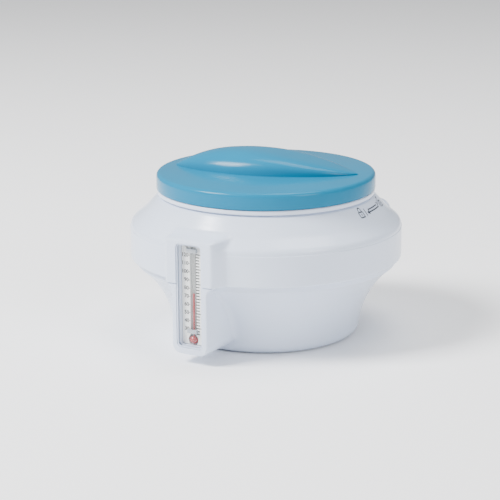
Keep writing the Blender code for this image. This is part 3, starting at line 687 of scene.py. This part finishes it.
def grip(shrink=0.0, foot=DISC_Z - 1.2 * MM, along=120, across=56):
    """A closed bmesh of the grip; shrink draws it in on all sides for the hollow underneath."""
    shape = bmesh.new()
    bmesh.ops.create_grid(shape, x_segments=along, y_segments=across, size=1.0)
    for vertex in shape.verts:
        u, v = vertex.co.x, vertex.co.y
        run = math.sin(u * math.pi / 2)
        x = run * (GRIP_REACH - shrink)
        half = (GRIP_HALF - shrink) * max(0.03, (1 - run * run) ** 0.8)
        end, power = (GRIP_REACH, 1.6) if x > GRIP_PEAK else (-GRIP_REACH, 2.4)
        away = (x - GRIP_PEAK) / (end - GRIP_PEAK)
        crown = GRIP_TOP_Z - shrink - (GRIP_TOP_Z - DISC_Z) * away**power
        # the back is squarer towards the right-hand end, where its edge is tight
        square = 2.3 + 1.5 * soft_step(x, -25 * MM, 30 * MM)
        side = math.sin(v * math.pi / 2)
        rise = max(0.0, 1 - abs(side) ** square) ** (1 / square)
        rise = 0.0 if abs(u) > 0.9999 or abs(v) > 0.9999 else max(rise, 0.002)
        vertex.co = (x, half * side, foot + max(0.5 * MM, crown - foot) * rise)
    bmesh.ops.holes_fill(shape, edges=[e for e in shape.edges if e.is_boundary], sides=0)
    bmesh.ops.recalc_face_normals(shape, faces=shape.faces)
    return turned_to(shape, GRIP_TURN)


print("grip faces:", len(grip().faces))

# %% Lid
lid_outline = [Vector((0, DISC_Z))] + rounded(
    mm((36.0, 112.0, 0), (74.4, 111.2, 2.8), (74.4, 100.2, 0.5), (72.4, 100.2, 0.5), (72.4, 109.0, 0.8),
       (36.0, 109.0, 0))
) + [Vector((0, 109.0 * MM))]
lid = solid(spun(lid_outline, 256, closed=False))
carve(lid, grip(), "UNION")
carve(lid, grip(2.0 * MM, foot=108.0 * MM, along=60, across=24))
lid_lugs = [
    brick((NECK_R + 0.5 * MM, -LUG_HALF, 100.5 * MM), (73.4 * MM, LUG_HALF, 103.0 * MM), 0.4 * MM,
          math.radians(90 + 120 * i))
    for i in range(3)
]
carve(lid, gathered(lid_lugs), "UNION")
finish(lid, "lid_with_grip", CYAN_ABS, "lid", ["lid"])

# %% Lid seal
seal_low, seal_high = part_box("lid_seal")[0][2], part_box("lid_seal")[1][2]
seal = solid(spun(rounded(
    [(70.6 * MM, seal_high, 0.4 * MM), (70.6 * MM, seal_low, 0.4 * MM),
     (66.2 * MM, seal_low, 0.4 * MM), (66.2 * MM, seal_high, 0.4 * MM)]
), 192))
finish(seal, "lid_seal_ring", RUBBER, "lid_seal", ["lid_seal"])

# %% [markdown]
# ## The scoop
# Under the lid hangs a half-round scoop, so tablets are loaded without being touched. It is a spun
# tube with a flange, cut away along a slanting line to leave a pointed tongue.

# %% Scoop and its screws
scoop_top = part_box("tablet_scoop")[1][2]
scoop = solid(spun(rounded(
    [(49.6 * MM, scoop_top, 0.4 * MM), (49.6 * MM, scoop_top - WALL, 0.5 * MM),
     (43 * MM, scoop_top - WALL, 1.5 * MM), (43 * MM, 12 * MM, 0.5 * MM),
     (41 * MM, 12 * MM, 0.5 * MM), (41 * MM, scoop_top, 0.5 * MM)]
), 144))
slant = rounded(
    mm((-60, 8, 0), (45.5, 8, 0), (40, 16, 6), (24, 30, 30), (12, 50, 40), (6, 70, 30),
       (-8, 86, 14), (-28, 93, 14), (-60, 95, 0)), steps=6,
)
cut = prism(slant, -60 * MM, 60 * MM)
swing = Matrix(((0, 0, 1), (1, 0, 0), (0, 1, 0)))
bmesh.ops.transform(cut, matrix=swing.to_4x4(), verts=cut.verts)
carve(scoop, cut)
finish(scoop, "tablet_scoop_half_tube", BLUE_PP, "lid", ["tablet_scoop"])
for i in (1, 2, 3):
    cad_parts[f"scoop_screw_{i}"].material_slots[0].material = STEEL

# %% [markdown]
# ## Basket and flow dial
# The basket holds the tablets and has twelve tall slots; its floor is a plate of its own with drain
# holes. The dial is a cup round it with slots of its own: turned by half their spacing, it covers
# the basket's slots. Both are spun, then slotted.

# %% Basket and dial
SLOTS = 12
DRAINS = 6
DRAIN_R, DRAIN_RING = 5.5 * MM, 30 * MM
FLUTE_R, FLUTE_RING = 9.8 * MM, 63 * MM


def slot_tool(inner, outer):
    """The cutter for every side slot, from one radius out to another."""
    shapes = []
    for i in range(SLOTS):
        outline = box_outline(5.25 * MM, 10 * MM, 40 * MM, 2.0 * MM)
        shape = stand_up(prism(outline, inner, outer), 0)
        shapes.append(turned_to(shape, math.tau * (i + 0.5) / SLOTS + math.pi / 2))
    return gathered(shapes)


def drain_tool(low, high):
    """The cutter for the ring of drain holes, from one height up to another."""
    return gathered([
        bar(DRAIN_R, high - low, (DRAIN_RING * math.cos(a), DRAIN_RING * math.sin(a), (low + high) / 2),
            Z_AXIS, 40)
        for a in (math.tau * i / DRAINS for i in range(DRAINS))
    ])


basket = solid(spun(rounded(mm(
    (54.4, 80.0, 0.5), (54.4, 77.5, 0.5), (52.0, 77.5, 0.4), (52.0, 3.2, 0.6), (47.6, 3.2, 0.3),
    (47.6, 4.0, 0.2), (50.2, 4.0, 0.2), (50.2, 80.0, 0.6),
)), 192))
keys = [
    brick((52.5 * MM, -3.4 * MM, 77.5 * MM), (56.1 * MM, 3.4 * MM, 80 * MM), 0.4 * MM, math.tau * i / 3)
    for i in range(3)
]
carve(basket, gathered(keys), "UNION")
carve(basket, slot_tool(46 * MM, 53.5 * MM))
finish(basket, "tablet_basket_slotted", BLUE_PP, "basket", ["tablet_basket"])

floor_plate = solid(spun(rounded(mm(
    (49.85, 6.1, 0.4), (49.85, 4.35, 0.4), (3.65, 4.35, 0.3), (3.65, 6.1, 0.3),
)), 192))
carve(floor_plate, drain_tool(1 * MM, 8 * MM))
finish(floor_plate, "basket_floor_plate", BLUE_PP, "basket", ["basket_floor"])

dial_outline = rounded(mm(
    (0, 8, 0), (3.3, 8.0, 0.5), (3.3, 2.6, 0.5), (52.6, 2.6, 1.0), (52.6, 44.0, 0.5),
    (54.4, 44.0, 0.5), (54.4, 0.0, 1.2), (0, 0, 0),
))
dial = solid(spun(dial_outline, 192, closed=False))
carve(dial, slot_tool(50 * MM, 57 * MM))
carve(dial, drain_tool(-2 * MM, 4 * MM))
flutes = [
    bar(FLUTE_R, 12 * MM, (FLUTE_RING * math.cos(a), FLUTE_RING * math.sin(a), 2 * MM), Z_AXIS, 64)
    for a in (math.tau * i / SLOTS for i in range(SLOTS))
]
carve(dial, gathered(flutes))
finish(dial, "flow_dial_fluted", BLUE_PP, "flow_dial", ["flow_dial"])
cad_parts["dial_retainer"].material_slots[0].material = WHITE_PP

# %% [markdown]
# ## Thermometer
# A shallow white case fills the pocket. The printed card lies in it, with a slot that the glass
# stem lies in, two clips hold the stem, and a clear window closes the front. A thin rim stands just
# inside the opening; with the case's own edge behind it, the two read as a double line.

# %% Case, window and bezel
tray_low, tray_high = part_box("thermometer_tray")
case_half = tray_high[0]
case_z = (tray_low[2], tray_high[2])


def front_plate(half_width, z_range, corner, y_range, soften=0.0):
    """A round-cornered plate that faces the front, between two heights and two depths."""
    depth = y_range[1] - y_range[0]
    outline = box_outline(half_width, z_range[0], z_range[1], corner)
    return stand_up(prism(outline, -depth / 2, depth / 2, soften), sum(y_range) / 2)


case = solid(front_plate(case_half, case_z, 2.9 * MM, (tray_low[1], tray_high[1]), 0.3 * MM))
hollow_z = (case_z[0] + 1.0 * MM, case_z[1] - 1.0 * MM)
floor_y = tray_high[1] - 1.4 * MM
carve(case, front_plate(case_half - 1.0 * MM, hollow_z, 2.0 * MM, (tray_low[1] - 2 * MM, floor_y)))
finish(case, "thermometer_case", WHITE_PP, "float", ["thermometer_tray"])

lens_low, lens_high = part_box("thermometer_lens")
window = solid(front_plate(lens_high[0], (lens_low[2], lens_high[2]), 2.9 * MM,
                           (lens_low[1], lens_high[1]), 0.25 * MM))
finish(window, "thermometer_window", LENS, "float", ["thermometer_lens"])

# %% Bezel rims
def rim(name, half_width, z_range, corner, y_range):
    """A thin raised frame just inside the opening."""
    width = 0.9 * MM
    made = solid(front_plate(half_width, z_range, corner, y_range, 0.25 * MM))
    inner_z = (z_range[0] + width, z_range[1] - width)
    carve(made, front_plate(half_width - width, inner_z, corner - width,
                            (y_range[0] - 2 * MM, y_range[1] + 2 * MM)))
    finish(made, name, WHITE_PP, "float")


rim("window_rim", WINDOW_HALF - 0.15 * MM, (WINDOW_LOW + 0.15 * MM, WINDOW_HIGH - 0.15 * MM), 3.05 * MM,
    (FACE_Y + 0.9 * MM, FACE_Y + 1.4 * MM))

# %% Card, stem, spirit and clips
card_low, card_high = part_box("thermometer_card")
CARD_FACE_Y = -92.5 * MM         # the stem lies in a slot in the card, and the clips' feet are sunk in it
BULB_Z = 15.6 * MM
BULB_STEPS = 24
STEM_R, STEM_BULB_R = 2.0 * MM, 3.1 * MM
SPIRIT_R, SPIRIT_BULB_R = 0.7 * MM, 2.85 * MM
STEM_SLOT_HALF, BULB_HOLE_R = 2.2 * MM, 3.8 * MM
card = solid(front_plate(card_high[0], (card_low[2], card_high[2]), 1.7 * MM,
                         (CARD_FACE_Y, card_high[1]), 0.1 * MM))
stem_y = (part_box("thermometer_glass")[0][1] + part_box("thermometer_glass")[1][1]) / 2
slot = box_outline(STEM_SLOT_HALF, BULB_Z, card_high[2] - 0.6 * MM, 0.5 * MM)
carve(card, stand_up(prism(slot, -4 * MM, 4 * MM), card_low[1] - 4 * MM))
carve(card, bar(BULB_HOLE_R, 16 * MM, (0, card_low[1], BULB_Z), (0, 1, 0)))
finish(card, "scale_card", CARD, "float", ["thermometer_card"])


def bulb_form(radius, bulb, top, segments=48):
    """Closed outline of a stem that swells into a bulb, spun and set on the stem's axis."""
    neck = math.asin(radius / bulb)
    points = [Vector((0, top)), Vector((radius * 0.7, top)), Vector((radius, top - radius * 0.4))]
    for i in range(BULB_STEPS + 1):
        angle = math.pi / 2 - neck - (math.pi - neck) * i / BULB_STEPS
        points.append(Vector((bulb * math.cos(angle), BULB_Z + bulb * math.sin(angle))))
    points[-1].x = 0
    shape = spun(points, segments, closed=False)
    bmesh.ops.translate(shape, vec=(0, stem_y, 0), verts=shape.verts)
    return shape


glass_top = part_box("thermometer_glass")[1][2]
stem = solid(bulb_form(STEM_R, STEM_BULB_R, glass_top))
finish(stem, "thermometer_stem", GLASS, "float", ["thermometer_glass"])
spirit = solid(bulb_form(SPIRIT_R, SPIRIT_BULB_R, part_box("thermometer_spirit")[1][2], 32))
finish(spirit, "spirit_column", SPIRIT, "float", ["thermometer_spirit"])
for name in ("tube_clip_bottom", "tube_clip_top"):
    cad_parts[name].material_slots[0].material = CLIP_PC

# %% [markdown]
# ## The printed scale
# Degrees Fahrenheit run up the left of the stem and degrees Celsius up the right, with a ladder of
# short bars beside the glass, one every two degrees Celsius. Printed ink has almost no height, so
# each mark is a plate a few hundredths of a millimetre thick, resting on the card.

# %% Scale
INK_Y = CARD_FACE_Y
INK = 0.05 * MM
ZERO_Z = 22.6 * MM               # height of 30 degrees on the left-hand scale
PER_DEGREE = 0.5486 * MM
FAHRENHEIT_SIZE, CELSIUS_SIZE = 3.5 * MM, 1.8 * MM
STROKE_SWELL = 0.09 * MM         # thickens the lettering's strokes


def height_of(fahrenheit):
    """Where a temperature stands on the card."""
    return ZERO_Z + (fahrenheit - 30) * PER_DEGREE


def mark(x0, x1, z, thick):
    """A level printed line from x0 to x1."""
    return brick((x0, INK_Y - INK, z - thick / 2), (x1, INK_Y + 0.01 * MM, z + thick / 2))


def words(text, x, z, size, align="RIGHT"):
    """Upright lettering on the card, as a bmesh."""
    written = bpy.data.curves.new("lettering", "FONT")
    written.body = text
    written.size = size
    written.align_x = align
    written.align_y = "CENTER"
    written.extrude = INK / 2
    written.resolution_u = 3
    written.offset = STROKE_SWELL
    holder = bpy.data.objects.new("lettering", written)
    bpy.context.scene.collection.objects.link(holder)
    bpy.context.view_layer.update()
    seen = holder.evaluated_get(bpy.context.evaluated_depsgraph_get())
    mesh = bpy.data.meshes.new_from_object(seen)
    bpy.data.objects.remove(holder, do_unlink=True)
    shape = bmesh.new()
    shape.from_mesh(mesh)
    bmesh.ops.remove_doubles(shape, verts=shape.verts, dist=0.000002)
    bmesh.ops.rotate(
        shape, cent=(0, 0, 0), matrix=Matrix.Rotation(math.pi / 2, 3, "X"), verts=shape.verts
    )
    bmesh.ops.translate(shape, vec=(x, INK_Y - INK / 2, z), verts=shape.verts)
    return shape


prints = []
for degree in range(30, 121, 10):
    prints.append(words(str(degree), -3.2 * MM, height_of(degree), FAHRENHEIT_SIZE))
    prints.append(mark(-3.1 * MM, -2.3 * MM, height_of(degree), 0.45 * MM))
for celsius in range(-4, 51, 2):
    prints.append(mark(2.4 * MM, 5.1 * MM, height_of(32 + 1.8 * celsius), 0.75 * MM))
for celsius in range(0, 51, 10):
    prints.append(mark(5.1 * MM, 6.0 * MM, height_of(32 + 1.8 * celsius), 0.45 * MM))
    prints.append(words(str(celsius), 6.15 * MM, height_of(32 + 1.8 * celsius), CELSIUS_SIZE, "LEFT"))
prints.append(words("°F", -3.1 * MM, 77.0 * MM, 3.4 * MM))
prints.append(brick((2.25 * MM, INK_Y - INK, height_of(23.5)), (2.6 * MM, INK_Y, height_of(123))))
finish(solid(gathered(prints)), "printed_scale", BLACK_INK, "float")

# %% [markdown]
# ## Lock marks on the shoulder
# A shut padlock, an open one, and two arrows that point opposite ways between two index bars are
# printed on the shoulder near the neck, so the user knows that the lid turns and locks. Each mark
# is drawn flat and then wrapped round the shoulder.

# %% Lock marks
MARK_R = 77.4 * MM               # radius and height of the shoulder where the marks' line runs
MARK_Z = 91.25 * MM
UPHILL = Vector((-0.66, 0.752))  # up the shoulder, as radius and height
OUTWARD = Vector((0.752, 0.66))
MARK_SIZE = 1.3                  # the marks are stretched by this up the shoulder
THIN = 0.65 * MM                 # width of every printed line


def wrapped(shape, lift=0.05 * MM):
    """Wraps a flat shape on the shoulder: x runs round it from azimuth 0 and y runs up it."""
    for vertex in shape.verts:
        around, up, out = vertex.co
        radius, z = Vector((MARK_R, MARK_Z)) + up * MARK_SIZE * UPHILL + (out + lift) * OUTWARD
        angle = around / MARK_R
        vertex.co = (radius * math.cos(angle), radius * math.sin(angle), z)
    bmesh.ops.recalc_face_normals(shape, faces=shape.faces)
    return shape


def strip(points, width, ink=0.04 * MM):
    """A flat printed line of some width through (x, y) points, as a thin closed solid."""
    shape = bmesh.new()
    rows = []
    for i, here in enumerate(points):
        ahead = Vector(points[min(i + 1, len(points) - 1)]) - Vector(points[max(i - 1, 0)])
        across = Vector((-ahead.y, ahead.x)).normalized() * width / 2
        rows.append([
            shape.verts.new((here[0] + k * across.x, here[1] + k * across.y, z))
            for k, z in ((-1, 0), (1, 0), (1, ink), (-1, ink))
        ])
    loops = [[shape.edges.new((row[i], row[(i + 1) % 4])) for i in range(4)] for row in rows]
    for a, b in zip(loops, loops[1:]):
        bmesh.ops.bridge_loops(shape, edges=a + b)
    bmesh.ops.holes_fill(shape, edges=[e for e in shape.edges if e.is_boundary], sides=0)
    return wrapped(shape)


def line(start, end, steps=8):
    """Points in metres along a straight line given in mm."""
    a, b = Vector(start), Vector(end)
    return [tuple(a.lerp(b, i / steps) * MM) for i in range(steps + 1)]


def ring_arc(cx, cy, radius, start, end, steps=16):
    """Points in metres round an arc given in mm and degrees."""
    angles = [math.radians(start + (end - start) * i / steps) for i in range(steps + 1)]
    return [((cx + radius * math.cos(a)) * MM, (cy + radius * math.sin(a)) * MM) for a in angles]


def padlock(x, shackle_end=180):
    """A padlock 4.6 mm wide with its left side at x; a shackle_end over 180 leaves it open."""
    left, right, middle = x, x + 4.6, x + 2.3
    body = [line((left, -2.2), (right, -2.2)), line((left, 0.9), (right, 0.9))]
    body += [line((left, -2.2), (left, 0.9)), line((right, -2.2), (right, 0.9))]
    body += [line((middle, -1.2), (middle, -0.2)), line((middle - 1.5, 0.9), (middle - 1.5, 1.9))]
    return body + [ring_arc(middle, 1.9, 1.5, shackle_end - 180, 180)]


marks = padlock(-9.6) + [line((-5.8, 1.9), (-5.8, 0.9))] + padlock(28.0, 215)
marks += [line((x, -2.2), (x, 2.2)) for x in (-1.9, 25.4)]
marks += [line((2.6, 0.75), (18.5, 0.75), 30), line((2.0, -0.75), (21.0, -0.75), 30)]
marks += [line((0.4, -0.75), (2.9, y)) for y in (0.15, -1.65)]
marks += [line((22.9, 0.75), (20.4, y)) for y in (1.65, -0.15)]
marks = [strip(points, THIN) for points in marks]
finish(solid(gathered(marks)), "lock_marks", SLATE_INK, "float")
